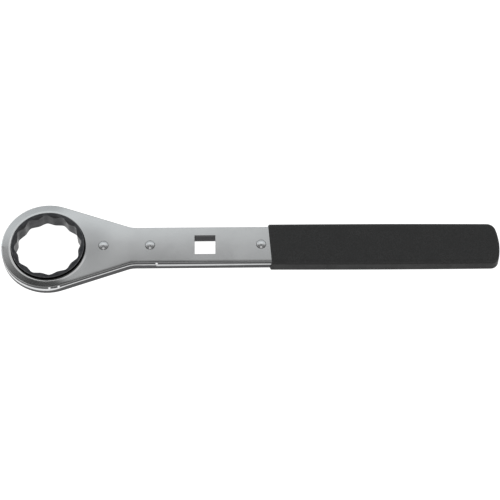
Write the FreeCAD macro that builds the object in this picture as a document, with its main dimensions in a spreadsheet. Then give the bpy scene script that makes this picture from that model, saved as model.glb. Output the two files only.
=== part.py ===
"""Ratcheting ring wrench: a twelve-point ring that turns in a riveted, three-layer steel body with a square drive
hole and a soft grip.

Millimetres. The origin is the ring's centre at mid thickness. +X runs along the handle and +Z is the ring's axis.
Two side plates lie on a centre layer, which is a head plate round the ring and a bar in the handle. The ring's middle
is a ratchet wheel between the side plates, and its two hubs turn in their round bores. A pawl on the first rivet
drops into the wheel's teeth, and a small coil spring pushes it there.
"""

import FreeCAD, Part
import math
import os

import Sketcher

SIZES = {
    # outline of the layered body, seen from above
    "head_radius": 28.65,
    "bar_width": 24.8,
    "taper_angle": 19.2,
    "neck_radius": 15.0,
    "bar_end": 275.8,
    "bar_end_radius": 36.0,
    "bar_corner_radius": 4.5,
    # layers
    "side_plate_thick": 2.0,
    "centre_thick": 4.0,
    "outer_edge_round": 0.8,
    "split_place": 66.6,
    "split_gap": 0.1,
    # square drive hole
    "square_place": 96.5,
    "square_side": 12.8,
    "square_edge_round": 0.1,
    # rivets
    "pivot_place": 34.2,
    "front_rivet_place": 62.8,
    "rear_rivet_place": 131.0,
    "rivet_pitch": 68.2,
    "shank_radius": 2.2,
    "countersink": 0.95,
    "rivet_seat": 0.5,
    "rivet_rise": 0.65,
    "rivet_shoulder": 0.42,
    "rivet_crown_radius": 1.6,
    # ring and ratchet wheel
    "plate_bore_radius": 22.5,
    "plate_bore_round": 0.7,
    "hub_radius": 22.42,
    "hub_rise": 1.35,
    "hub_bevel": 0.15,
    "tooth_tip_radius": 25.6,
    "tooth_root_radius": 24.2,
    "tooth_overrun": 0.15,
    "tooth_clear_radius": 26.4,
    "tooth_step": 10.0,
    "wheel_bore_radius": 25.8,
    "side_gap": 0.05,
    "socket_flats": 36.6,
    "socket_turn": 5.1,
    "second_hexagon_turn": 30.0,
    "socket_tip_round": 3.2,
    "socket_corner_round": 4.5,
    "socket_mouth_radius": 20.4,
    "socket_throat_radius": 18.8,
    "socket_mouth_depth": 1.0,
    # pawl, whose back is a straight line square to the back angle
    "backlash": 0.8,
    "pawl_gap": 0.2,
    "pawl_tooth_place": 30.0,
    "pawl_back_angle": 46.3,
    "pawl_length": 21.6,
    "pawl_belly_angle": 210.3,
    "pawl_eye_radius": 4.2,
    "pawl_bore_radius": 2.26,
    # room for the pawl at rest and lifted
    "pocket_gap": 0.3,
    "pocket_end_angle": 41.4,
    "pocket_corner_radius": 30.6,
    "pocket_mouth_radius": 24.6,
    "pocket_mouth_angle": 12.0,
    # pawl spring
    "spring_place": 11.5,
    "spring_radius": 1.35,
    "wire_radius": 0.17,
    "spring_turns": 7.0,
    "slot_width": 3.4,
    "slot_depth": 6.6,
    # grip
    "grip_wall": 1.4,
    "grip_start": 136.5,
    "grip_slant": 2.0,
    "grip_round": 2.4,
    "grip_corner_radius": 6.0,
}
TEETH = 36
ORIGIN = (-1, 1)
X_AXIS, Y_AXIS = -1, -2
START, END, CENTRE = 1, 2, 3
HEXAGON_SIDES = 6
FULL_TURN = 360.0
UP, DOWN = 90, 270
CLOSE = 1e-4
NEAR = 1e-3
MOSTLY = 0.9

doc = FreeCAD.newDocument("ratchet_ring_wrench")
subparts = []


class Bound:
    """A number together with the sheet expression that gives it."""

    def __init__(self, value, text):
        self.value = value
        self.text = text

    def __add__(self, other):
        return Bound(self.value + other.value, f"({self.text} + {other.text})")

    def __sub__(self, other):
        return Bound(self.value - other.value, f"({self.text} - {other.text})")

    def __neg__(self):
        return Bound(-self.value, f"(-{self.text})")

    def __mul__(self, other):
        if isinstance(other, Bound):
            return Bound(self.value * other.value, f"{self.text} * {other.text}")
        return Bound(self.value * other, f"{self.text} * {other}")

    def __truediv__(self, number):
        return Bound(self.value / number, f"{self.text} / {number}")


def dim(name):
    return Bound(SIZES[name], "dims." + name)


def cosine(angle):
    return Bound(math.cos(math.radians(angle.value)), f"cos({angle.text} * 1 deg)")


def sine(angle):
    return Bound(math.sin(math.radians(angle.value)), f"sin({angle.text} * 1 deg)")


def polar(radius, angle):
    return radius * cosine(angle), radius * sine(angle)


ZERO = Bound(0.0, "0")


def make_sheet():
    sheet = doc.addObject("Spreadsheet::Sheet", "dims")
    for row, (name, value) in enumerate(SIZES.items(), start=1):
        sheet.set(f"A{row}", name)
        sheet.set(f"B{row}", str(value))
        sheet.setAlias(f"B{row}", name)
    doc.recompute()


# ---- sketches ----


def new_body(label):
    body = doc.addObject("PartDesign::Body", label)
    body.Label = label
    subparts.append(body)
    return body


def new_sketch(body, name, plane="XY_Plane", height=ZERO):
    sketch = body.newObject("Sketcher::SketchObject", f"{body.Label}_{name}")
    sketch.AttachmentSupport = (next(f for f in body.Origin.OriginFeatures if f.Role == plane), [""])
    sketch.MapMode = "FlatFace"
    sketch.setExpression("AttachmentOffset.Base.z", height.text)
    return sketch


def constrain(sketch, kind, *where, to=None):
    """Adds a constraint, and binds its size to the sheet if there is one."""
    if to is None:
        sketch.addConstraint(Sketcher.Constraint(kind, *where))
        return
    value = math.radians(to.value) if kind == "Angle" else to.value
    index = sketch.addConstraint(Sketcher.Constraint(kind, *where, value))
    sketch.setExpression(f"Constraints[{index}]", to.text)


def pin(sketch, geometry, point, x, y):
    """Fixes a point of the sketch at bound coordinates."""
    for kind, axis, distance in (("DistanceX", Y_AXIS, x), ("DistanceY", X_AXIS, y)):
        if distance is ZERO:
            constrain(sketch, "PointOnObject", geometry, point, axis)
        elif distance.value > 0:
            constrain(sketch, kind, *ORIGIN, geometry, point, to=distance)
        else:
            constrain(sketch, kind, geometry, point, *ORIGIN, to=-distance)


def add_polygon(sketch, corners):
    """A closed outline of straight lines through bound corners."""
    points = [FreeCAD.Vector(x.value, y.value, 0) for x, y in corners]
    following = points[1:] + points[:1]
    sides = [sketch.addGeometry(Part.LineSegment(a, b), False) for a, b in zip(points, following)]
    for side, after, corner in zip(sides, sides[1:] + sides[:1], corners[1:] + corners[:1]):
        constrain(sketch, "Coincident", side, END, after, START)
        pin(sketch, after, START, *corner)
    return sides


def add_box(sketch, low_x, high_x, half_y):
    return add_polygon(sketch, [(low_x, -half_y), (high_x, -half_y), (high_x, half_y), (low_x, half_y)])


def add_circle(sketch, radius, x=ZERO, y=ZERO):
    centre = FreeCAD.Vector(x.value, y.value, 0)
    circle = sketch.addGeometry(Part.Circle(centre, FreeCAD.Vector(0, 0, 1), radius.value), False)
    pin(sketch, circle, CENTRE, x, y)
    constrain(sketch, "Radius", circle, to=radius)
    return circle


def add_arc(sketch, x, y, radius, first, last):
    """An arc that runs anticlockwise from the first angle to the last. Its centre and ends are left free."""
    circle = Part.Circle(FreeCAD.Vector(x, y, 0), FreeCAD.Vector(0, 0, 1), radius.value)
    arc = sketch.addGeometry(Part.ArcOfCircle(circle, math.radians(first), math.radians(last)), False)
    constrain(sketch, "Radius", arc, to=radius)
    return arc


# ---- features ----


def pad(body, sketch, length, symmetric=False):
    feature = body.newObject("PartDesign::Pad", sketch.Name + "_pad")
    feature.Profile = sketch
    feature.setExpression("Length", length.text)
    feature.SideType = "Symmetric" if symmetric else "One side"
    doc.recompute()


def pocket(body, sketch, length=None):
    """Cuts both ways from the sketch, through everything unless a length is given."""
    before = body.Shape.Volume
    feature = body.newObject("PartDesign::Pocket", sketch.Name + "_pocket")
    feature.Profile = sketch
    feature.SideType = "Symmetric"
    if length is None:
        feature.Type = "ThroughAll"
    else:
        feature.setExpression("Length", length.text)
    doc.recompute()
    must_be_less(feature, body.Shape.Volume, before)
    return feature


def turn(body, sketch, kind):
    """A Revolution or Groove of the sketch about its vertical axis."""
    before = body.Shape.Volume if kind == "Groove" else None
    feature = body.newObject("PartDesign::" + kind, sketch.Name + "_turned")
    feature.Profile = sketch
    feature.ReferenceAxis = (sketch, ["V_Axis"])
    doc.recompute()
    if before is not None:
        must_be_less(feature, body.Shape.Volume, before)


def must_be_less(feature, volume, before):
    if volume > before - NEAR:
        raise RuntimeError(f"{feature.Name} cuts nothing")


def dress(body, kind, test, size_name):
    """A Fillet or Chamfer on those edges of the body that pass the test."""
    base = body.Tip
    names = [f"Edge{i}" for i, edge in enumerate(base.Shape.Edges, start=1) if test(edge)]
    if not names:
        raise RuntimeError(f"{body.Label} has no edges for {size_name}")
    feature = body.newObject("PartDesign::" + kind, f"{body.Label}_{size_name}")
    feature.Base = (base, names)
    feature.setExpression("Radius" if kind == "Fillet" else "Size", dim(size_name).text)
    doc.recompute()


def lies_at(edge, z):
    return all(abs(vertex.Z - z) < CLOSE for vertex in edge.Vertexes) and edge.BoundBox.ZLength < CLOSE


def is_circle(edge, radius):
    return isinstance(edge.Curve, Part.Circle) and abs(edge.Curve.Radius - radius) < CLOSE


def is_square_edge(edge):
    """Whether the edge is one of the square hole's sides."""
    middle = edge.BoundBox.Center
    reach = max(abs(middle.x - SIZES["square_place"]), abs(middle.y))
    return abs(reach - SIZES["square_side"] / 2) < CLOSE and abs(edge.Length - SIZES["square_side"]) < CLOSE


def is_upright_at(edge, radius):
    """Whether the edge runs along Z at this distance from the ring's axis."""
    ends = [vertex.Point for vertex in edge.Vertexes]
    upright = len(ends) == 2 and edge.BoundBox.ZLength > MOSTLY * edge.Length
    return upright and all(abs(math.hypot(p.x, p.y) - radius) < NEAR for p in ends)


# ---- the flat layers ----


def draw_outline(sketch):
    """The body's outline: a round head, two straight tapers, concave necks, a bar and an arched end."""
    head, neck, half = dim("head_radius"), dim("neck_radius"), dim("bar_width") / 2
    arch, corner = dim("bar_end_radius"), dim("bar_corner_radius")
    taper = SIZES["taper_angle"]
    rise, run = math.sin(math.radians(taper)), math.cos(math.radians(taper))
    reach = neck.value * math.tan(math.radians(taper / 2))
    meet = (head.value - half.value * run) / rise
    arch_x = SIZES["bar_end"] - arch.value
    corner_y = half.value - corner.value
    corner_x = arch_x + math.sqrt((arch.value - corner.value) ** 2 - corner_y**2)
    lean = math.degrees(math.atan2(corner_y, corner_x - arch_x))

    def add_line(x1, y1, x2, y2):
        return sketch.addGeometry(Part.LineSegment(FreeCAD.Vector(x1, y1, 0), FreeCAD.Vector(x2, y2, 0)), False)

    round_head = add_arc(sketch, 0, 0, head, UP - taper, DOWN + taper)
    arch_end = add_arc(sketch, arch_x, 0, arch, -lean, lean)
    foot = (meet - reach * run, half.value + reach * rise)
    low_taper = add_line(head.value * rise, -head.value * run, foot[0], -foot[1])
    low_neck = add_arc(sketch, meet + reach, -half.value - neck.value, neck, UP, UP + taper)
    low_bar = add_line(meet + reach, -half.value, corner_x, -half.value)
    low_corner = add_arc(sketch, corner_x, -corner_y, corner, DOWN, FULL_TURN - lean)
    top_corner = add_arc(sketch, corner_x, corner_y, corner, lean, UP)
    top_bar = add_line(corner_x, half.value, meet + reach, half.value)
    top_neck = add_arc(sketch, meet + reach, half.value + neck.value, neck, DOWN - taper, DOWN)
    top_taper = add_line(*foot, head.value * rise, head.value * run)
    joins = [
        (round_head, END, low_taper, START),
        (low_taper, END, low_neck, END),
        (low_neck, START, low_bar, START),
        (low_bar, END, low_corner, START),
        (low_corner, END, arch_end, START),
        (arch_end, END, top_corner, START),
        (top_corner, END, top_bar, START),
        (top_bar, END, top_neck, END),
        (top_neck, START, top_taper, START),
        (top_taper, END, round_head, START),
    ]
    for join in joins:
        constrain(sketch, "Tangent", *join)
    pin(sketch, round_head, CENTRE, ZERO, ZERO)
    pin(sketch, arch_end, CENTRE, dim("bar_end") - arch, ZERO)
    constrain(sketch, "Horizontal", low_bar)
    constrain(sketch, "Horizontal", top_bar)
    constrain(sketch, "DistanceY", *ORIGIN, top_bar, START, to=half)
    constrain(sketch, "DistanceY", low_bar, START, *ORIGIN, to=half)
    constrain(sketch, "Angle", X_AXIS, START, low_taper, START, to=dim("taper_angle"))
    constrain(sketch, "Angle", top_taper, END, X_AXIS, START, to=dim("taper_angle"))


def layer(label, bottom, thick):
    body = new_body(label)
    sketch = new_sketch(body, "outline", height=bottom)
    draw_outline(sketch)
    pad(body, sketch, thick)
    return body


def drill(body, name, radius, places):
    sketch = new_sketch(body, name)
    for place in places:
        add_circle(sketch, radius, place)
    pocket(body, sketch)


def punch_square(body):
    sketch = new_sketch(body, "square")
    half = dim("square_side") / 2
    add_box(sketch, dim("square_place") - half, dim("square_place") + half, half)
    pocket(body, sketch)


def side_plate(label, side):
    """One outer plate. side is 1 for the upper one and -1 for the lower one."""
    inner, thick = dim("centre_thick") / 2, dim("side_plate_thick")
    face = side * (inner.value + thick.value)
    body = layer(label, inner if side > 0 else -(inner + thick), thick)
    dress(body, "Fillet", lambda edge: lies_at(edge, face), "outer_edge_round")
    drill(body, "bore", dim("plate_bore_radius"), [ZERO])
    punch_square(body)
    drill(body, "rivet_holes", dim("shank_radius"), HEAD_RIVETS + HANDLE_RIVETS)
    dress(body, "Fillet", lambda edge: lies_at(edge, face) and is_square_edge(edge), "square_edge_round")
    bore, shank = SIZES["plate_bore_radius"], SIZES["shank_radius"]
    dress(body, "Fillet", lambda edge: lies_at(edge, face) and is_circle(edge, bore), "plate_bore_round")
    dress(body, "Chamfer", lambda edge: lies_at(edge, face) and is_circle(edge, shank), "countersink")


def head_centre_plate():
    body = layer("head_centre_plate", -dim("centre_thick") / 2, dim("centre_thick"))
    spare = new_sketch(body, "handle_side")
    add_box(spare, dim("split_place") - dim("split_gap") / 2, dim("bar_end") + dim("split_gap"), dim("bar_width"))
    pocket(body, spare)
    drill(body, "wheel_bore", dim("wheel_bore_radius"), [ZERO])
    drill(body, "rivet_holes", dim("shank_radius"), [dim("front_rivet_place")])
    gap = dim("pocket_gap")
    seat = dim("pawl_eye_radius") + gap
    drill(body, "pawl_seat", seat, [dim("pivot_place")])
    room = new_sketch(body, "pawl_room")
    belly_x, belly_y = polar(seat, dim("pawl_belly_angle"))
    corners = [
        polar(dim("pocket_mouth_radius"), dim("pocket_end_angle")),
        polar(dim("pocket_corner_radius"), dim("pocket_end_angle")),
        on_pawl_back(ZERO, gap),
        (dim("pivot_place") + belly_x, belly_y),
        polar(dim("pocket_mouth_radius"), dim("pocket_mouth_angle")),
    ]
    add_polygon(room, corners)
    pocket(body, room)
    slot = new_sketch(body, "spring_slot")
    half, middle, depth = dim("slot_width") / 2, dim("spring_place"), dim("slot_depth")
    near, far = middle - half, middle + half
    corners = [on_pawl_back(near, ZERO), on_pawl_back(near, depth), on_pawl_back(far, depth), on_pawl_back(far, ZERO)]
    add_polygon(slot, corners)
    pocket(body, slot)


def handle_centre_bar():
    body = layer("handle_centre_bar", -dim("centre_thick") / 2, dim("centre_thick"))
    spare = new_sketch(body, "head_side")
    reach = dim("head_radius") + dim("split_gap")
    add_box(spare, -reach, dim("split_place") + dim("split_gap") / 2, reach)
    pocket(body, spare)
    punch_square(body)
    drill(body, "rivet_holes", dim("shank_radius"), HANDLE_RIVETS)


# ---- rivets ----


def rivet(label, place, domed):
    """A shank with two countersunk heads, turned about its own axis. Heads under the grip are flush."""
    body = new_body(label)
    sketch = new_sketch(body, "profile", plane="XZ_Plane")
    face = dim("centre_thick") / 2 + dim("side_plate_thick")
    shank, seat = dim("shank_radius"), dim("rivet_seat")
    rim = shank + seat
    upper = [
        (shank, face - dim("countersink")),
        (rim, face - dim("countersink") + seat),
    ]
    if domed:
        upper.append((rim, face))
        upper.append((dim("rivet_crown_radius"), face + dim("rivet_shoulder")))
        upper.append((ZERO, face + dim("rivet_rise")))
    else:
        upper.append((ZERO, face - dim("countersink") + seat))
    lower = [(x, -y) for x, y in reversed(upper)]
    add_polygon(sketch, lower + upper)
    turn(body, sketch, "Revolution")
    body.setExpression("Placement.Base.x", place.text)


# ---- ring ----


def add_hexagon(sketch, flats, angle):
    """A regular hexagon round the origin, with one corner at the given angle."""
    radius = flats / math.sqrt(3)
    turns = [Bound(FULL_TURN * i / HEXAGON_SIDES, str(FULL_TURN * i / HEXAGON_SIDES)) for i in range(HEXAGON_SIDES)]
    add_polygon(sketch, [polar(radius, angle + step) for step in turns])


def ratchet_ring():
    body = new_body("ratchet_ring")
    wheel = new_sketch(body, "wheel")
    add_circle(wheel, dim("tooth_tip_radius"))
    pad(body, wheel, dim("centre_thick") - dim("side_gap") * 2, symmetric=True)
    gap = new_sketch(body, "tooth_gap")
    face, next_face = dim("backlash"), dim("backlash") + dim("tooth_step")
    corners = [
        polar(dim("tooth_tip_radius") + dim("tooth_overrun"), face),
        polar(dim("tooth_root_radius"), next_face),
        polar(dim("tooth_clear_radius"), next_face),
    ]
    add_polygon(gap, corners)
    first = pocket(body, gap)
    around = body.newObject("PartDesign::PolarPattern", "tooth_gaps")
    around.Originals = [first]
    around.Axis = (gap, ["N_Axis"])
    around.Angle = FULL_TURN
    around.Occurrences = TEETH
    body.Tip = around
    doc.recompute()

    hub = new_sketch(body, "hubs")
    add_circle(hub, dim("hub_radius"))
    face_height = dim("centre_thick") / 2 + dim("side_plate_thick") + dim("hub_rise")
    pad(body, hub, face_height * 2, symmetric=True)
    for name, angle in (("first_hexagon", ZERO), ("second_hexagon", dim("second_hexagon_turn"))):
        sketch = new_sketch(body, name)
        add_hexagon(sketch, dim("socket_flats"), dim("socket_turn") + angle)
        pocket(body, sketch)
    tips, hub_radius = SIZES["socket_flats"] / math.sqrt(3), SIZES["hub_radius"]
    corners = SIZES["socket_flats"] / 2 / math.cos(math.radians(SIZES["second_hexagon_turn"] / 2))
    dress(body, "Fillet", lambda edge: is_upright_at(edge, tips), "socket_tip_round")
    dress(body, "Fillet", lambda edge: is_upright_at(edge, corners), "socket_corner_round")
    dress(body, "Chamfer", lambda edge: on_face(edge, face_height.value) and is_circle(edge, hub_radius), "hub_bevel")

    mouths = new_sketch(body, "mouths", plane="XZ_Plane")
    wide, narrow, depth = dim("socket_mouth_radius"), dim("socket_throat_radius"), dim("socket_mouth_depth")
    for side in (1, -1):
        heights = (face_height - depth, face_height, face_height + depth, face_height + depth)
        radii = (narrow, wide, wide, narrow)
        add_polygon(mouths, [(x, y if side > 0 else -y) for x, y in zip(radii, heights)])
    turn(body, mouths, "Groove")


# ---- pawl and spring ----


def on_pawl_back(along, out):
    """The point that lies this far along the pawl's back from its eye, and this far out from it."""
    angle = dim("pawl_back_angle")
    reach = dim("pawl_eye_radius") + out
    x = dim("pivot_place") + reach * cosine(angle) - along * sine(angle)
    return x, reach * sine(angle) + along * cosine(angle)


def pawl():
    body = new_body("pawl")
    thick = dim("centre_thick") - dim("side_gap") * 2
    tip = dim("tooth_tip_radius") + dim("tooth_overrun") + dim("pawl_gap")
    root = dim("tooth_root_radius") + dim("pawl_gap")
    place, step, eye = dim("pawl_tooth_place"), dim("tooth_step"), dim("pawl_eye_radius")
    belly_x, belly_y = polar(eye, dim("pawl_belly_angle"))
    strut = new_sketch(body, "strut")
    corners = [
        polar(tip, place - step),
        (dim("pivot_place") + belly_x, belly_y),
        on_pawl_back(ZERO, ZERO),
        on_pawl_back(dim("pawl_length"), ZERO),
        polar(root, place + step),
        polar(tip, place),
        polar(root, place),
    ]
    add_polygon(strut, corners)
    pad(body, strut, thick, symmetric=True)
    round_eye = new_sketch(body, "eye")
    add_circle(round_eye, eye, dim("pivot_place"))
    pad(body, round_eye, thick, symmetric=True)
    drill(body, "eye_hole", dim("pawl_bore_radius"), [dim("pivot_place")])


def pawl_spring():
    body = new_body("pawl_spring")
    sketch = new_sketch(body, "wire", plane="XZ_Plane")
    wire = dim("wire_radius")
    add_circle(sketch, wire, dim("spring_radius"), wire)
    coil = body.newObject("PartDesign::AdditiveHelix", "pawl_spring_coil")
    coil.Profile = sketch
    coil.ReferenceAxis = (sketch, ["V_Axis"])
    coil.Mode = "height-turns-angle"
    coil.setExpression("Height", (dim("slot_depth") - wire * 2).text)
    coil.setExpression("Turns", dim("spring_turns").text)
    doc.recompute()
    across = math.radians(SIZES["pawl_back_angle"])
    heading = FreeCAD.Vector(math.cos(across), math.sin(across), 0)
    body.Placement = FreeCAD.Placement(FreeCAD.Vector(), FreeCAD.Rotation(FreeCAD.Vector(0, 0, 1), heading))
    x, y = on_pawl_back(dim("spring_place"), ZERO)
    body.setExpression("Placement.Base.x", x.text)
    body.setExpression("Placement.Base.y", y.text)


# ---- grip ----


def grip_sleeve():
    """A soft sleeve over the handle's end. Its front edge is slanted and its inside fits the layered bar."""
    body = new_body("grip_sleeve")
    wall = dim("grip_wall")
    half = dim("bar_width") / 2 + wall
    start, slant, end = dim("grip_start"), dim("grip_slant"), dim("bar_end") + wall
    layers = dim("centre_thick") + dim("side_plate_thick") * 2
    outline = new_sketch(body, "outline")
    arch, corner = dim("bar_end_radius") + wall, dim("grip_corner_radius")
    sleeve_outline(outline, start - slant / 2, start + slant / 2, end, half, arch, corner)
    pad(body, outline, layers + wall * 2, symmetric=True)
    face = layers.value / 2 + wall.value
    inner_face = layers.value / 2
    low_x = start.value + slant.value
    dress(body, "Fillet", lambda edge: on_face(edge, face) and edge.BoundBox.XMax > low_x, "grip_round")
    inside = new_sketch(body, "inside")
    draw_outline(inside)
    pocket(body, inside, layers)
    dress(body, "Fillet", lambda edge: on_face(edge, inner_face) and edge.BoundBox.XMax > low_x, "outer_edge_round")


def on_face(edge, height):
    return lies_at(edge, height) or lies_at(edge, -height)


def sleeve_outline(sketch, top_start, low_start, end, half, arch, corner):
    arch_x = end.value - arch.value
    corner_y = half.value - corner.value
    corner_x = arch_x + math.sqrt((arch.value - corner.value) ** 2 - corner_y**2)
    lean = math.degrees(math.atan2(corner_y, corner_x - arch_x))
    far = FreeCAD.Vector(corner_x, half.value, 0)
    near = FreeCAD.Vector(top_start.value, half.value, 0)
    low_near = FreeCAD.Vector(low_start.value, -half.value, 0)
    top_side = sketch.addGeometry(Part.LineSegment(far, near), False)
    front = sketch.addGeometry(Part.LineSegment(near, low_near), False)
    low_side = sketch.addGeometry(Part.LineSegment(low_near, FreeCAD.Vector(corner_x, -half.value, 0)), False)
    low_corner = add_arc(sketch, corner_x, -corner_y, corner, DOWN, FULL_TURN - lean)
    arch_end = add_arc(sketch, arch_x, 0, arch, -lean, lean)
    top_corner = add_arc(sketch, corner_x, corner_y, corner, lean, UP)
    constrain(sketch, "Coincident", top_side, END, front, START)
    constrain(sketch, "Coincident", front, END, low_side, START)
    constrain(sketch, "Tangent", low_side, END, low_corner, START)
    constrain(sketch, "Tangent", low_corner, END, arch_end, START)
    constrain(sketch, "Tangent", arch_end, END, top_corner, START)
    constrain(sketch, "Tangent", top_corner, END, top_side, START)
    constrain(sketch, "Horizontal", top_side)
    constrain(sketch, "Horizontal", low_side)
    pin(sketch, top_side, END, top_start, half)
    pin(sketch, low_side, START, low_start, -half)
    pin(sketch, arch_end, CENTRE, end - arch, ZERO)


# ---- build ----

HEAD_RIVETS = [dim("front_rivet_place"), dim("pivot_place")]
REAR_RIVET = dim("rear_rivet_place")
HANDLE_RIVETS = [REAR_RIVET, REAR_RIVET + dim("rivet_pitch"), REAR_RIVET + dim("rivet_pitch") * 2]

make_sheet()
side_plate("upper_side_plate", 1)
side_plate("lower_side_plate", -1)
head_centre_plate()
handle_centre_bar()
ratchet_ring()
pawl()
pawl_spring()
rivet("pawl_pivot_rivet", dim("pivot_place"), True)
rivet("front_rivet", dim("front_rivet_place"), True)
rivet("rear_rivet", REAR_RIVET, True)
rivet("grip_front_rivet", HANDLE_RIVETS[1], False)
rivet("grip_rear_rivet", HANDLE_RIVETS[2], False)
grip_sleeve()
doc.recompute()

for obj in doc.Objects:
    if "Invalid" in obj.State or "Error" in obj.State:
        raise RuntimeError(f"{obj.Label} is in error: {obj.State}")

os.makedirs("parts", exist_ok=True)
for body in subparts:
    if body.Shape.isNull() or not body.Shape.isValid():
        raise RuntimeError(f"{body.Label} has a bad shape")
    body.Shape.exportStep(f"parts/{body.Label}.step")
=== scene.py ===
"""Look of the ratcheting ring wrench: satin chrome body, black oxide ring, soft black grip, in a pale studio."""

import math

import bmesh
import bpy
from mathutils import Matrix, Vector


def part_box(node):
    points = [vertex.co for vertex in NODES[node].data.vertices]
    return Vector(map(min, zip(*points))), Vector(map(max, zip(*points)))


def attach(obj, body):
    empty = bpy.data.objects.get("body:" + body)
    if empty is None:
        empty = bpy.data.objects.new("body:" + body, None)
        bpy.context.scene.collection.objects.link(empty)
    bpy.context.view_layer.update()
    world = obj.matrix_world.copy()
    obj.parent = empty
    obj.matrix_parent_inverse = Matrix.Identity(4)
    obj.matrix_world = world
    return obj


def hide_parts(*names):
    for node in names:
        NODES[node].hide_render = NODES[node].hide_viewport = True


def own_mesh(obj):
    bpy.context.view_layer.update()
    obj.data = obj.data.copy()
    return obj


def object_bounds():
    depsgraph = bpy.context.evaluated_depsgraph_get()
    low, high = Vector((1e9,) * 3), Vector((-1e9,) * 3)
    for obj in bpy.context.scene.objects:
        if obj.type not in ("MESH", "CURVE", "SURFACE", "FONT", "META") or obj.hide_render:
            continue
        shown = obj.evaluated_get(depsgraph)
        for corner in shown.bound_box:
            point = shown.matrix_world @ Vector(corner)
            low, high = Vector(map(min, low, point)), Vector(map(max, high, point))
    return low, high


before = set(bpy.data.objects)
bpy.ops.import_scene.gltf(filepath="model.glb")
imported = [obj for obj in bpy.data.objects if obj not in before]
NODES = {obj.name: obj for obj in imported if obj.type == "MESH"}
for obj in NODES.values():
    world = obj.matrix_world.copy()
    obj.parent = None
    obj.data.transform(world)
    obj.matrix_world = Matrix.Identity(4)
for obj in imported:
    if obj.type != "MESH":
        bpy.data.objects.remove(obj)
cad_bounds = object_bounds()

MM = 0.001
RIVETS = ("pawl_pivot_rivet", "front_rivet", "rear_rivet")

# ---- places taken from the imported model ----
grip_low, grip_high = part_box("grip_sleeve")
HEAD_RADIUS = -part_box("head_centre_plate")[0].x
BAR_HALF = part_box("handle_centre_bar")[1].y
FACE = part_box("upper_side_plate")[1].z

# ---- sizes that the box of a node doesn't give ----
TAPER = math.radians(19.2)
SQUARE_X = 96.5 * MM
SQUARE_HALF = 6.4 * MM
LIP_RADIUS = 22.27 * MM
# round the ring's bore: the radius inside which the plate is painted dark as a painted reflection of the black hub,
# then the width, fade and lean of a painted highlight line just outside it, and the centre of both
BORE_SHADE_RADIUS = 23.1 * MM
BORE_HIGHLIGHT_WIDTH = 1.05 * MM
BORE_HIGHLIGHT_FADE = 4 * MM
BORE_HIGHLIGHT_LEAN = 0.35
BORE_PAINT_CENTRE = (0.35 * MM, -0.85 * MM)
RIM_WIDTH = HEAD_RADIUS - 24.4 * MM
RIM_SLOPE = math.tan(math.radians(6.8))
BAR_ARCH = 0.34 * MM
FRONT_ARCH = 0.24 * MM
ROLL_WIDTH = 2.2 * MM
ROLL_SLOPE = math.tan(math.radians(6.7))
# centre of a patch of painted shade on the face beside the ring
PAINTED_SHADE_PLACE = (24 * MM, 2 * MM)
CROWN_SCALE = 1.0 * MM
# places of small painted glints on the plates' walls
PAINTED_GLINTS = ((1.9 * MM, -28.4 * MM), (7.5 * MM, -27.5 * MM), (67.0 * MM, -12.4 * MM))
# how far in front of each rivet's axis a painted glint sits on its head
GLINT_Y = -2.2 * MM
RIVET_PLACES = [(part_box(name)[0].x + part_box(name)[1].x) / 2 for name in RIVETS]


# ==== node graphs ====


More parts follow.
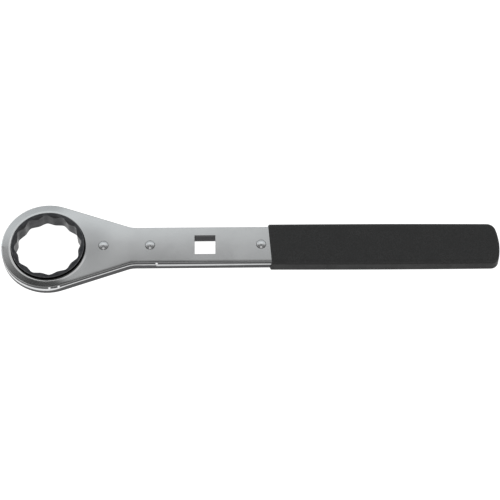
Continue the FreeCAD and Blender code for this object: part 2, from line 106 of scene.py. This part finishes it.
class Graph:
    """A material's node tree, with one Principled shader."""

    def __init__(self, name, color, metallic, roughness, **fixed):
        self.material = bpy.data.materials.new(name)
        self.material.use_nodes = True
        self.tree = self.material.node_tree
        self.shader = self.tree.nodes["Principled BSDF"]
        self.set("Base Color", (*color, 1.0))
        self.set("Metallic", metallic)
        self.set("Roughness", roughness)
        for socket, value in fixed.items():
            self.set(socket.replace("_", " "), value)
        coordinates = self.tree.nodes.new("ShaderNodeTexCoord")
        self.place = coordinates.outputs["Object"]
        self.facing = coordinates.outputs["Normal"]

    def put(self, socket, value):
        """A socket's value: another socket, or a number or colour."""
        if isinstance(value, bpy.types.NodeSocket):
            self.tree.links.new(value, socket)
        else:
            socket.default_value = value

    def set(self, name, value):
        self.put(self.shader.inputs[name], value)

    def math(self, operation, *values, clamp=False):
        node = self.tree.nodes.new("ShaderNodeMath")
        node.operation = operation
        node.use_clamp = clamp
        for socket, value in zip(node.inputs, values):
            self.put(socket, value)
        return node.outputs[0]

    def split(self, vector):
        node = self.tree.nodes.new("ShaderNodeSeparateXYZ")
        self.put(node.inputs[0], vector)
        return node.outputs

    def levelness(self):
        """1 on faces that look straight up or down, and 0 on upright walls."""
        return self.math("ABSOLUTE", self.split(self.facing)[2])

    def stretch(self, vector, x, y, z):
        node = self.tree.nodes.new("ShaderNodeVectorMath")
        node.operation = "MULTIPLY"
        self.put(node.inputs[0], vector)
        node.inputs[1].default_value = (x, y, z)
        return node.outputs[0]

    def noise(self, vector, size, detail=3.0, roughness=0.55, distortion=0.0):
        """Noise from 0 to 1 whose blotches are about this size in metres."""
        node = self.tree.nodes.new("ShaderNodeTexNoise")
        self.put(node.inputs["Vector"], vector)
        node.inputs["Scale"].default_value = 1 / size
        node.inputs["Detail"].default_value = detail
        node.inputs["Roughness"].default_value = roughness
        node.inputs["Distortion"].default_value = distortion
        return node.outputs["Fac"]

    def cells(self, vector, size, randomness=1.0):
        """Distance to the nearest cell centre, with cells about this size in metres."""
        node = self.tree.nodes.new("ShaderNodeTexVoronoi")
        self.put(node.inputs["Vector"], vector)
        node.inputs["Scale"].default_value = 1 / size
        node.inputs["Randomness"].default_value = randomness
        return node.outputs["Distance"]

    def ease(self, value, low, high, to_low=0.0, to_high=1.0):
        """A smooth step of value from low to high."""
        node = self.tree.nodes.new("ShaderNodeMapRange")
        node.interpolation_type = "SMOOTHSTEP"
        numbers = {"Value": value, "From Min": low, "From Max": high, "To Min": to_low, "To Max": to_high}
        for name, number in numbers.items():
            self.put(node.inputs[name], number)
        return node.outputs["Result"]

    def mix(self, factor, first, second):
        node = self.tree.nodes.new("ShaderNodeMix")
        node.data_type = "RGBA"
        self.put(node.inputs[0], factor)
        for socket, value in ((node.inputs[6], first), (node.inputs[7], second)):
            self.put(socket, value if isinstance(value, bpy.types.NodeSocket) else (*value, 1.0))
        return node.outputs[2]

    def bump(self, height, metres, strength=1.0, under=None):
        """A bump whose full height is this many metres, laid over another."""
        node = self.tree.nodes.new("ShaderNodeBump")
        node.inputs["Strength"].default_value = strength
        node.inputs["Distance"].default_value = metres
        self.put(node.inputs["Height"], height)
        if under is not None:
            self.put(node.inputs["Normal"], under)
        return node.outputs["Normal"]


def edge_distance(graph):
    """How far a point of the body lies inside its outline, in metres: round head, straight taper, then bar."""
    x, y, _ = graph.split(graph.place)
    across = graph.math("ABSOLUTE", y)
    radius = graph.math("SQRT", graph.math("ADD", graph.math("MULTIPLY", x, x), graph.math("MULTIPLY", y, y)))
    in_head = graph.math("SUBTRACT", HEAD_RADIUS, radius)
    leaning = graph.math(
        "ADD", graph.math("MULTIPLY", x, math.sin(TAPER)), graph.math("MULTIPLY", across, math.cos(TAPER))
    )
    in_taper = graph.math("SUBTRACT", HEAD_RADIUS, leaning)
    in_bar = graph.math("SUBTRACT", BAR_HALF, across)
    past_head = graph.math(
        "GREATER_THAN", graph.math("MULTIPLY", x, math.cos(TAPER)), graph.math("MULTIPLY", across, math.sin(TAPER))
    )
    straight = graph.math("MAXIMUM", in_taper, in_bar)
    kept = graph.math("MULTIPLY", past_head, straight)
    return graph.math("ADD", kept, graph.math("MULTIPLY", graph.math("SUBTRACT", 1.0, past_head), in_head))


def square_distance(graph):
    """How far a point lies outside the square hole's walls, in metres."""
    x, y, _ = graph.split(graph.place)
    along = graph.math("ABSOLUTE", graph.math("SUBTRACT", x, SQUARE_X))
    return graph.math("SUBTRACT", graph.math("MAXIMUM", along, graph.math("ABSOLUTE", y)), SQUARE_HALF)


def axis_distance(graph, axis_x=0.0, axis_y=0.0):
    """Distance from an upright axis, which is the ring's unless another place is given."""
    x, y, _ = graph.split(graph.place)
    x, y = graph.math("SUBTRACT", x, axis_x), graph.math("SUBTRACT", y, axis_y)
    return graph.math("SQRT", graph.math("ADD", graph.math("MULTIPLY", x, x), graph.math("MULTIPLY", y, y)))


def crown(graph, edge):
    """Height of the face in units of CROWN_SCALE.

    It is arched across, more on the back half than on the front, slopes down all round the head's rim and rolls off
    along the bar's front edge.
    """
    x, y, _ = graph.split(graph.place)
    across = graph.math("ABSOLUTE", y)
    half_width = graph.math("ADD", edge, across)
    front = graph.math("LESS_THAN", y, 0.0)
    wider = graph.math("SUBTRACT", half_width, BAR_HALF)
    spread = graph.math("MULTIPLY_ADD", front, wider, BAR_HALF)
    fall = graph.math("DIVIDE", across, graph.math("MAXIMUM", spread, 1 * MM))
    depth = graph.math("MULTIPLY_ADD", front, (BAR_ARCH - FRONT_ARCH) / CROWN_SCALE, -BAR_ARCH / CROWN_SCALE)
    depth = graph.math("MULTIPLY", depth, graph.ease(x, 60 * MM, 135 * MM, 1.0, 0.4))
    arch = graph.math("MULTIPLY", graph.math("MULTIPLY", fall, fall), depth)
    past_head = graph.math(
        "SUBTRACT",
        graph.math("MULTIPLY", x, math.cos(TAPER)),
        graph.math("MULTIPLY", across, math.sin(TAPER)),
    )
    around_head = graph.ease(past_head, -7 * MM, 7 * MM, 1.0, 0.0)
    rim = graph.math("MAXIMUM", graph.math("SUBTRACT", RIM_WIDTH, edge), 0.0)
    slope = graph.math("MULTIPLY", graph.math("MULTIPLY", rim, around_head), -RIM_SLOPE / CROWN_SCALE)
    roll = graph.math("MAXIMUM", graph.math("SUBTRACT", ROLL_WIDTH, edge), 0.0)
    roll = graph.math("MULTIPLY", graph.math("DIVIDE", roll, ROLL_WIDTH), roll)
    along_bar = graph.math("MULTIPLY", front, graph.math("SUBTRACT", 1.0, around_head))
    rolled = graph.math("MULTIPLY", graph.math("MULTIPLY", roll, along_bar), -ROLL_SLOPE / 2 / CROWN_SCALE)
    return graph.math("ADD", graph.math("ADD", arch, slope), rolled)


# ==== materials ====


def satin_chrome():
    """Plated and vapour-blasted faces, crowned a little by the polishing wheel. The shear-cut walls are dark, partly
    real rough metal and partly painted shade; the faces also carry a patch of painted shade beside the ring, a
    painted dark reflection and a painted highlight line round the bore, and the walls a few painted glints.
    """
    graph = Graph("satin_chrome", (0.66, 0.67, 0.68), 1.0, 0.3)
    edge = edge_distance(graph)
    level = graph.ease(graph.levelness(), 0.4, 0.8)
    cloud = graph.noise(graph.place, 14 * MM, detail=4.0)
    grain = graph.noise(graph.place, 0.35 * MM, detail=2.0)
    brushed = graph.noise(graph.stretch(graph.place, 0.05, 1.0, 1.0), 0.22 * MM, detail=3.0)
    face_color = graph.mix(graph.ease(cloud, 0.3, 0.7), (0.605, 0.61, 0.612), (0.662, 0.667, 0.668))
    # wall colour: partly real rough shear-cut metal, partly painted shade where the walls face into holes or would
    # mirror the shadowed floor
    streaks = graph.noise(graph.stretch(graph.place, 1, 1, 0.3), 0.5 * MM)
    sheared_and_shaded = graph.mix(streaks, (0.026, 0.026, 0.028), (0.058, 0.058, 0.06))
    top_half = graph.math("GREATER_THAN", graph.split(graph.place)[2], 0.0)
    # painted glints: small bright spots on the upper walls stand in for highlights
    for place in PAINTED_GLINTS:
        near = graph.ease(axis_distance(graph, *place), 0.4 * MM, 0.9 * MM, 1.0, 0.0)
        sheared_and_shaded = graph.mix(graph.math("MULTIPLY", near, top_half), sheared_and_shaded, (0.75, 0.755, 0.76))
    # painted shade: the face is darkened in a soft patch beside the ring
    painted_shade = graph.ease(axis_distance(graph, *PAINTED_SHADE_PLACE), 4 * MM, 20 * MM, 0.2, 0.0)
    face_color = graph.mix(painted_shade, face_color, (0.0, 0.0, 0.0))
    # painted reflection and painted highlight: the plate is painted dark inside a circle a little off the ring's
    # axis, and a bright line just outside it on the near half is a painted highlight
    from_bore_shade = graph.math("SUBTRACT", axis_distance(graph, *BORE_PAINT_CENTRE), BORE_SHADE_RADIUS)
    outside = graph.ease(from_bore_shade, -0.1 * MM, 0.1 * MM)
    bore_highlight = graph.math("MULTIPLY", outside, graph.ease(from_bore_shade, BORE_HIGHLIGHT_WIDTH, BORE_HIGHLIGHT_WIDTH + 0.3 * MM, 1.0, 0.0))
    x, y, _ = graph.split(graph.place)
    near_half = graph.ease(graph.math("MULTIPLY_ADD", x, BORE_HIGHLIGHT_LEAN, y), -BORE_HIGHLIGHT_FADE, BORE_HIGHLIGHT_FADE, 1.0, 0.0)
    bore_highlight = graph.math("MULTIPLY", bore_highlight, near_half)
    face_color = graph.mix(bore_highlight, face_color, (0.88, 0.88, 0.88))
    face_color = graph.mix(outside, (0.06, 0.06, 0.06), face_color)
    graph.set("Base Color", graph.mix(level, sheared_and_shaded, face_color))
    matte = graph.math("MULTIPLY_ADD", grain, 0.06, graph.ease(cloud, 0.2, 0.8, 0.17, 0.21))
    on_edge = graph.math("SUBTRACT", 1.0, level)
    graph.set("Roughness", graph.math("MULTIPLY_ADD", on_edge, 0.12, matte))
    crowned = graph.bump(crown(graph, edge), CROWN_SCALE)
    waves = graph.bump(graph.noise(graph.place, 22 * MM, detail=1.0), 0.03 * MM, under=crowned)
    grained = graph.bump(grain, 0.004 * MM, 0.6, under=waves)
    graph.set("Normal", graph.bump(brushed, 0.003 * MM, 0.5, under=grained))
    return graph.material


def polished_edge():
    """The bar, burnished along the upper part of its outer edge; below that and on the wall of the square hole it is
    dark, partly real torn metal and partly painted shade.
    """
    graph = Graph("polished_edge", (0.72, 0.725, 0.73), 1.0, 0.25)
    x, _, z = graph.split(graph.place)
    in_hole = graph.ease(square_distance(graph), 0.2 * MM, 0.5 * MM)
    ragged = graph.noise(graph.place, 3 * MM, detail=3.0)
    start = graph.ease(x, 75 * MM, 140 * MM, -0.35 * MM, 0.4 * MM)
    above = graph.math("SUBTRACT", graph.math("MULTIPLY_ADD", ragged, 0.3 * MM, z), start)
    burnished = graph.ease(above, 0.0, 0.3 * MM)
    lines = graph.noise(graph.stretch(graph.place, 0.06, 0.06, 1.0), 0.15 * MM, detail=3.0)
    cloud = graph.noise(graph.place, 6 * MM)
    bright = graph.mix(cloud, (0.43, 0.435, 0.44), (0.54, 0.545, 0.55))
    # dark colour: partly real torn metal, partly painted shade in the square hole and on the lower edge
    torn_and_shaded = graph.mix(in_hole, (0.015, 0.015, 0.016), (0.03, 0.03, 0.032))
    graph.set("Base Color", graph.mix(graph.math("MULTIPLY", in_hole, burnished), torn_and_shaded, bright))
    graph.set("Roughness", graph.ease(lines, 0.3, 0.7, 0.2, 0.34))
    graph.set("Normal", graph.bump(lines, 0.006 * MM, 0.7))
    return graph.material


def stamped_edge():
    """The head's centre plate: a burnished band along the top of its shear-cut edge, wider round the head; below the
    band the edge is dark, partly real torn metal and partly painted shade.
    """
    graph = Graph("stamped_edge", (0.3, 0.3, 0.3), 1.0, 0.3)
    x, _, z = graph.split(graph.place)
    ragged = graph.noise(graph.place, 3 * MM, detail=3.0)
    start = graph.ease(x, 0.0, 14 * MM, -0.5 * MM, 1.0 * MM)
    above = graph.math("SUBTRACT", graph.math("MULTIPLY_ADD", ragged, 0.5 * MM, z), start)
    burnished = graph.ease(above, 0.1 * MM, 0.4 * MM)
    streaks = graph.noise(graph.stretch(graph.place, 1, 1, 0.2), 0.4 * MM, detail=3.0)
    # dark colour below the band: partly real torn metal, partly painted shade
    torn_and_shaded = graph.mix(streaks, (0.03, 0.03, 0.032), (0.08, 0.08, 0.083))
    graph.set("Base Color", graph.mix(burnished, torn_and_shaded, (0.60, 0.605, 0.61)))
    graph.set("Roughness", graph.ease(burnished, 0.0, 1.0, 0.42, 0.24))
    graph.set("Normal", graph.bump(streaks, 0.012 * MM, 0.6))
    return graph.material


def rivet_steel():
    """Peened heads, a little brighter than the plates from rubbing, each with a painted glint: a small white spot
    painted on its front edge where a highlight shows.
    """
    graph = Graph("rivet_steel", (0.66, 0.665, 0.67), 1.0, 0.24)
    peened = graph.noise(graph.place, 1.1 * MM, detail=2.0)
    color = graph.mix(peened, (0.68, 0.685, 0.69), (0.80, 0.805, 0.81))
    painted_glint = None
    # painted glint: a small white spot on each head's front edge stands in for a highlight
    for place in RIVET_PLACES:
        glint = graph.ease(axis_distance(graph, place, GLINT_Y), 0.45 * MM, 0.95 * MM, 1.0, 0.0)
        painted_glint = glint if painted_glint is None else graph.math("MAXIMUM", painted_glint, glint)
    above = graph.math("GREATER_THAN", graph.split(graph.place)[2], 0.0)
    painted_glint = graph.math("MULTIPLY", painted_glint, above)
    graph.set("Base Color", graph.mix(painted_glint, color, (0.95, 0.95, 0.95)))
    worn_front = graph.ease(graph.split(graph.place)[1], -0.9 * MM, 0.1 * MM, 0.25, 0.0)
    graph.set("Metallic", graph.math("SUBTRACT", 1.0, graph.math("MAXIMUM", painted_glint, worn_front)))
    graph.set("Roughness", graph.ease(graph.noise(graph.place, 0.4 * MM), 0.3, 0.7, 0.18, 0.32))
    graph.set("Normal", graph.bump(peened, 0.03 * MM, 0.6))
    return graph.material


def black_oxide():
    """Dark, faintly blue oxide, duller on the lead-in cones and lighter on the hubs' outer bevels, with painted
    highlights in patches along the lips.
    """
    graph = Graph("black_oxide", (0.06, 0.06, 0.065), 1.0, 0.35)
    cloud = graph.noise(graph.place, 5 * MM, detail=4.0)
    scale = graph.noise(graph.place, 0.5 * MM, detail=3.0)
    on_wall = graph.ease(graph.levelness(), 0.3, 0.7, 1.0, 0.0)
    color = graph.mix(graph.ease(cloud, 0.3, 0.7), (0.055, 0.057, 0.062), (0.10, 0.10, 0.104))
    wall_color = graph.mix(graph.ease(cloud, 0.3, 0.7), (0.02, 0.021, 0.023), (0.052, 0.052, 0.055))
    color = graph.mix(on_wall, color, wall_color)
    steep = graph.levelness()
    on_cone = graph.math("MULTIPLY", graph.ease(steep, 0.6, 0.75), graph.ease(steep, 0.9, 0.97, 1.0, 0.0))
    color = graph.mix(on_cone, color, (0.045, 0.045, 0.047))
    graph.set("Metallic", graph.math("MULTIPLY_ADD", on_cone, -0.8, 1.0))
    radius = axis_distance(graph)
    on_bevel = graph.ease(radius, LIP_RADIUS - 0.1 * MM, LIP_RADIUS + 0.1 * MM)
    color = graph.mix(on_bevel, color, (0.14, 0.14, 0.143))
    # painted highlight: patches along the lip are painted lighter where highlight arcs show
    lip = graph.math("ABSOLUTE", graph.math("SUBTRACT", radius, LIP_RADIUS))
    near_lip = graph.ease(lip, 0.08 * MM, 0.25 * MM, 1.0, 0.0)
    lip_highlight = graph.math("MULTIPLY", near_lip, graph.ease(graph.noise(graph.place, 3 * MM), 0.45, 0.65))
    graph.set("Base Color", graph.mix(graph.math("MULTIPLY", lip_highlight, 0.6), color, (0.34, 0.34, 0.345)))
    graph.set("Roughness", graph.ease(scale, 0.25, 0.75, 0.26, 0.44))
    graph.set("Normal", graph.bump(scale, 0.02 * MM, 0.6, under=graph.bump(cloud, 0.06 * MM)))
    return graph.material


def bare_steel(name, tone, grain_size):
    """Hardened inner parts with a thin film of oil."""
    graph = Graph(name, (tone, tone, tone), 1.0, 0.3)
    grain = graph.noise(graph.stretch(graph.place, 1, 1, 0.2), grain_size, detail=3.0)
    graph.set("Base Color", graph.mix(grain, (tone * 0.75, tone * 0.75, tone * 0.78), (tone, tone, tone)))
    graph.set("Roughness", graph.ease(grain, 0.3, 0.7, 0.22, 0.4))
    graph.set("Normal", graph.bump(grain, 0.01 * MM, 0.6))
    return graph.material


def black_vinyl():
    """Soft matte sleeve with a fine pebbled skin; its upright sides are painted darker, a painted shade that holds
    back the light the floor throws on them.
    """
    graph = Graph("black_vinyl", (0.05, 0.05, 0.05), 0.0, 0.6, Specular_IOR_Level=0.15)
    pebbles = graph.cells(graph.place, 0.75 * MM)
    fine = graph.noise(graph.place, 0.3 * MM, detail=3.0)
    cloud = graph.noise(graph.place, 9 * MM, detail=4.0)
    skin = graph.math("MULTIPLY_ADD", fine, 0.6, pebbles)
    color = graph.mix(graph.ease(cloud, 0.3, 0.7), (0.05, 0.05, 0.05), (0.065, 0.065, 0.065))
    color = graph.mix(graph.ease(skin, 0.3, 1.1), color, (0.042, 0.042, 0.042))
    # painted shade: the upright sides are darkened against the floor's light
    side_shade = graph.ease(graph.levelness(), 0.3, 0.7, 0.52, 0.0)
    graph.set("Base Color", graph.mix(side_shade, color, (0.0, 0.0, 0.0)))
    graph.set("Roughness", graph.ease(cloud, 0.3, 0.7, 0.52, 0.64))
    graph.set("Normal", graph.bump(skin, 0.05 * MM, 0.8))
    return graph.material


def dress_nodes():
    chrome, edge, rivet = satin_chrome(), polished_edge(), rivet_steel()
    looks = {
        "upper_side_plate": chrome,
        "lower_side_plate": chrome,
        "head_centre_plate": stamped_edge(),
        "handle_centre_bar": edge,
        "ratchet_ring": black_oxide(),
        "pawl": bare_steel("hardened_steel", 0.4, 0.6 * MM),
    }
    looks.update({name: rivet for name in NODES if name.endswith("rivet")})
    for name, material in looks.items():
        for material_slot in NODES[name].material_slots:
            material_slot.material = material


# ==== grip ====

GRIP_FRONT = 135.9 * MM
GRIP_WALL = grip_high.z - FACE
GRIP_WIDE = BAR_HALF + GRIP_WALL
GRIP_HIGH = grip_high.z
GRIP_CORNER = 2.3 * MM
GRIP_ARCH = 37.4 * MM
ARCH_CORNER = 5.2 * MM
END_ROUND = 1.9 * MM
GRIP_DRIFT = -0.7 * MM
END_SKEW = 0.07
END_SKEW_LENGTH = 40 * MM
LIP_ROUND = 0.9 * MM
LIP_STEPS = 7
BODY_STEPS = 60
END_STEPS = 28
SKEW_LENGTH = 14 * MM
PER_CORNER = 8
PER_SIDE = 14


def section(half_width, half_height, corner):
    """Points round a rounded rectangle in the plane across the handle. Each size gives the same number of points."""
    arcs = []
    for quarter, (sign_y, sign_z) in enumerate(((1, 1), (-1, 1), (-1, -1), (1, -1))):
        middle = Vector((sign_y * (half_width - corner), sign_z * (half_height - corner)))
        turns = [math.pi / 2 * (quarter + step / PER_CORNER) for step in range(PER_CORNER + 1)]
        arcs.append([middle + corner * Vector((math.cos(turn), math.sin(turn))) for turn in turns])
    points = []
    for arc, following in zip(arcs, arcs[1:] + arcs[:1]):
        points += arc
        points += [arc[-1].lerp(following[0], step / PER_SIDE) for step in range(1, PER_SIDE)]
    return points


def grip_width(x, end):
    """Half the grip's width at x: nearly straight, a little full in the middle, with an arched end."""
    length = end - grip_low.x
    share = (x - grip_low.x) / length
    full = GRIP_WIDE + 0.24 * MM * math.sin(math.pi * share) - 0.2 * MM * share
    arch_x = end - GRIP_ARCH
    corner_y = full - ARCH_CORNER
    corner_x = arch_x + math.sqrt((GRIP_ARCH - ARCH_CORNER) ** 2 - corner_y**2)
    meet_x = arch_x + GRIP_ARCH * (corner_x - arch_x) / (GRIP_ARCH - ARCH_CORNER)
    if x < corner_x:
        return full
    if x < meet_x:
        return corner_y + math.sqrt(ARCH_CORNER**2 - (x - corner_x) ** 2)
    return math.sqrt(max(GRIP_ARCH**2 - (x - arch_x) ** 2, 0.0))


def front_skew(y, z):
    """The front edge isn't square: it leans back across the face and forward down the wall."""
    return -1.05 * MM * y / (13 * MM) + 0.65 * MM * z / (4.5 * MM)


def grip_rings():
    """Each ring of the grip's skin as a list of points, from inside the front lip to the end."""
    front, end = GRIP_FRONT, grip_high.x
    rings = []
    for step in range(-1, LIP_STEPS + 1):
        turn = math.pi / 2 * max(step, 0) / LIP_STEPS
        out = GRIP_WALL * math.sin(turn) if step >= 0 else -0.15 * MM
        back = LIP_ROUND * (1 - math.cos(turn)) if step >= 0 else 0.3 * MM
        corner = 1.0 * MM + (GRIP_CORNER - 1.0 * MM) * math.sin(turn)
        rings.append((front + back, BAR_HALF + out, FACE + out, corner))
    start = front + LIP_ROUND
    straight_end = end - 10 * MM
    for step in range(1, BODY_STEPS):
        x = start + (straight_end - start) * step / BODY_STEPS
        rings.append((x, grip_width(x, end), GRIP_HIGH, GRIP_CORNER))
    for step in range(END_STEPS + 1):
        x = end - (end - straight_end) * (1 - math.sin(math.pi / 2 * step / END_STEPS))
        left = min(max(end - x, 0.0), END_ROUND)
        height = GRIP_HIGH - END_ROUND + math.sqrt(END_ROUND**2 - (END_ROUND - left) ** 2)
        width = max(grip_width(x, end), 0.02 * MM)
        rings.append((x, width, height, min(GRIP_CORNER, width * 0.95, height * 0.95)))
    placed = []
    for x, width, height, corner in rings:
        fade = max(1 - (x - front) / SKEW_LENGTH, 0.0)
        near_end = max(1 - (end - x) / END_SKEW_LENGTH, 0.0)
        drift = GRIP_DRIFT * (x - front) / (end - front)
        placed.append(
            [
                Vector((x + fade * front_skew(y, z) - near_end * END_SKEW * y, y + drift, z))
                for y, z in section(width, height, corner)
            ]
        )
    return placed


def make_grip():
    mesh = bmesh.new()
    rings = [[mesh.verts.new(point) for point in ring] for ring in grip_rings()]
    for ring, following in zip(rings, rings[1:]):
        for i in range(len(ring)):
            j = (i + 1) % len(ring)
            mesh.faces.new((ring[i], following[i], following[j], ring[j]))
    mesh.faces.new(reversed(rings[0]))
    mesh.faces.new(rings[-1])
    bmesh.ops.recalc_face_normals(mesh, faces=mesh.faces)
    data = bpy.data.meshes.new("grip_skin")
    mesh.to_mesh(data)
    mesh.free()
    data.shade_smooth()
    piece = bpy.data.objects.new("grip_skin", data)
    bpy.context.collection.objects.link(piece)
    data.materials.append(black_vinyl())
    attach(piece, "body")
    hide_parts("grip_sleeve")


# ==== spring ====


def make_spring():
    """The pawl's coil spring, copied from its node into a piece of its own with a spring steel finish."""
    node = NODES["pawl_spring"]
    data = node.data.copy()
    piece = bpy.data.objects.new("spring_coil", data)
    bpy.context.collection.objects.link(piece)
    bpy.context.view_layer.update()
    piece.matrix_world = node.matrix_world.copy()
    data.materials.clear()
    data.materials.append(bare_steel("spring_steel", 0.5, 0.3 * MM))
    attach(piece, "body")
    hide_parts("pawl_spring")
    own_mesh(piece)


# ==== studio ====

FLOOR_GAP = 0.02 * MM
FLOOR_REACH = 4.0
FRONT_LIGHT = 0.30
SEEN_BACKDROP = 0.95
COOL_FROM, COOL_TO = 0.42, 0.58
# each step of the tent's light: where it starts and ends along a direction's Y, or its X either way, and how much
TENT_STEPS = (
    (-0.4, -0.1, -0.26),
    (0.275, 0.36, 0.44),
    (0.40, 0.62, 0.30),
    (0.58, 0.75, -0.13),
    (0.93, 1.0, -0.4),
)
SIDE_STEP = (0.5, 0.8, 0.4)
COOL_LIGHT = (0.955, 1.0, 1.02)


def make_floor():
    mesh = bmesh.new()
    bmesh.ops.create_grid(mesh, x_segments=1, y_segments=1, size=FLOOR_REACH)
    data = bpy.data.meshes.new("floor")
    mesh.to_mesh(data)
    mesh.free()
    floor = bpy.data.objects.new("floor", data)
    bpy.context.collection.objects.link(floor)
    floor.location = (0, 0, cad_bounds[0].z - FLOOR_GAP)
    graph = Graph("floor", (0.35, 0.35, 0.35), 0.0, 0.9)
    graph.set("Emission Color", (1.0, 1.0, 1.0, 1.0))
    graph.set("Emission Strength", 1.0)
    data.materials.append(graph.material)


def make_panel(name, azimuth, elevation, distance, width, height, power):
    """A soft box that faces the wrench. Azimuth 0 is in front of it, on the -Y side, and 90 is on its +X side."""
    light = bpy.data.lights.new(name, "AREA")
    light.shape = "RECTANGLE"
    light.size, light.size_y = width, height
    light.energy = power
    panel = bpy.data.objects.new(name, light)
    bpy.context.collection.objects.link(panel)
    around, up = math.radians(azimuth), math.radians(elevation)
    way = Vector((math.sin(around) * math.cos(up), -math.cos(around) * math.cos(up), math.sin(up)))
    middle = (cad_bounds[0] + cad_bounds[1]) / 2
    panel.location = middle + way * distance
    panel.rotation_mode = "QUATERNION"
    panel.rotation_quaternion = way.to_track_quat("Z", "Y")
    return panel


def make_world():
    """A tent that is bright behind the wrench, dark overhead and dim at its front and sides, so that faces shade."""
    world = bpy.data.worlds.new("tent")
    world.use_nodes = True
    bpy.context.scene.world = world
    tree = world.node_tree
    background = tree.nodes["Background"]
    place = tree.nodes.new("ShaderNodeTexCoord")
    parts = tree.nodes.new("ShaderNodeSeparateXYZ")
    tree.links.new(place.outputs["Generated"], parts.inputs[0])
    sideways = tree.nodes.new("ShaderNodeMath")
    sideways.operation = "ABSOLUTE"
    tree.links.new(parts.outputs["X"], sideways.inputs[0])
    steps = [(parts.outputs["Y"], *step) for step in TENT_STEPS] + [(sideways.outputs[0], *SIDE_STEP)]
    strength = FRONT_LIGHT
    for way, low, high, step in steps:
        shade = tree.nodes.new("ShaderNodeMapRange")
        shade.interpolation_type = "SMOOTHSTEP"
        shade.inputs["From Min"].default_value = low
        shade.inputs["From Max"].default_value = high
        shade.inputs["To Max"].default_value = step
        tree.links.new(way, shade.inputs["Value"])
        total = tree.nodes.new("ShaderNodeMath")
        tree.links.new(shade.outputs["Result"], total.inputs[0])
        if isinstance(strength, float):
            total.inputs[1].default_value = strength
        else:
            tree.links.new(strength, total.inputs[1])
        strength = total.outputs[0]
    tree.links.new(strength, background.inputs["Strength"])
    seen = tree.nodes.new("ShaderNodeBackground")
    seen.inputs["Strength"].default_value = SEEN_BACKDROP
    path = tree.nodes.new("ShaderNodeLightPath")
    both = tree.nodes.new("ShaderNodeMixShader")
    tree.links.new(path.outputs["Is Camera Ray"], both.inputs[0])
    tree.links.new(background.outputs[0], both.inputs[1])
    tree.links.new(seen.outputs[0], both.inputs[2])
    seen.inputs["Color"].default_value = (1.0, 1.0, 1.0, 1.0)
    cool = tree.nodes.new("ShaderNodeMix")
    cool.data_type = "RGBA"
    share = tree.nodes.new("ShaderNodeMapRange")
    share.inputs["From Min"].default_value = COOL_FROM
    share.inputs["From Max"].default_value = COOL_TO
    tree.links.new(parts.outputs["Y"], share.inputs["Value"])
    tree.links.new(share.outputs["Result"], cool.inputs[0])
    cool.inputs[6].default_value = (1.0, 1.0, 1.0, 1.0)
    cool.inputs[7].default_value = (*COOL_LIGHT, 1.0)
    tree.links.new(cool.outputs[2], background.inputs["Color"])
    tree.links.new(both.outputs[0], tree.nodes["World Output"].inputs["Surface"])


# ==== camera ====

LENS = 158.4
SENSOR = 36.0
DISTANCE = 1.349
ELEVATION = math.radians(62.3)
ROLL = math.radians(-0.456)
LOOK_AT = Vector((124.16 * MM, -4.0 * MM, FACE))


def make_camera():
    camera = bpy.data.cameras.new("camera")
    camera.sensor_width = SENSOR
    camera.lens = LENS
    camera.clip_start, camera.clip_end = 0.05, 20.0
    holder = bpy.data.objects.new("camera", camera)
    bpy.context.collection.objects.link(holder)
    view = Vector((0, math.cos(ELEVATION), -math.sin(ELEVATION)))
    right = Vector((1, 0, 0))
    up = right.cross(view)
    rolled_right = right * math.cos(ROLL) + up * math.sin(ROLL)
    rolled_up = up * math.cos(ROLL) - right * math.sin(ROLL)
    turn = Matrix((rolled_right, rolled_up, -view)).transposed()
    holder.matrix_world = Matrix.Translation(LOOK_AT - view * DISTANCE) @ turn.to_4x4()
    bpy.context.scene.camera = holder


make_camera()
dress_nodes()
make_grip()
make_spring()
make_floor()
make_world()
make_panel("back_box", 180, 50, 1.2, 0.9, 0.5, 0.3)
make_panel("overhead_fill", 0, 75, 1.2, 0.9, 0.9, 2.9).visible_glossy = False
bpy.context.scene.view_settings.view_transform = "Standard"
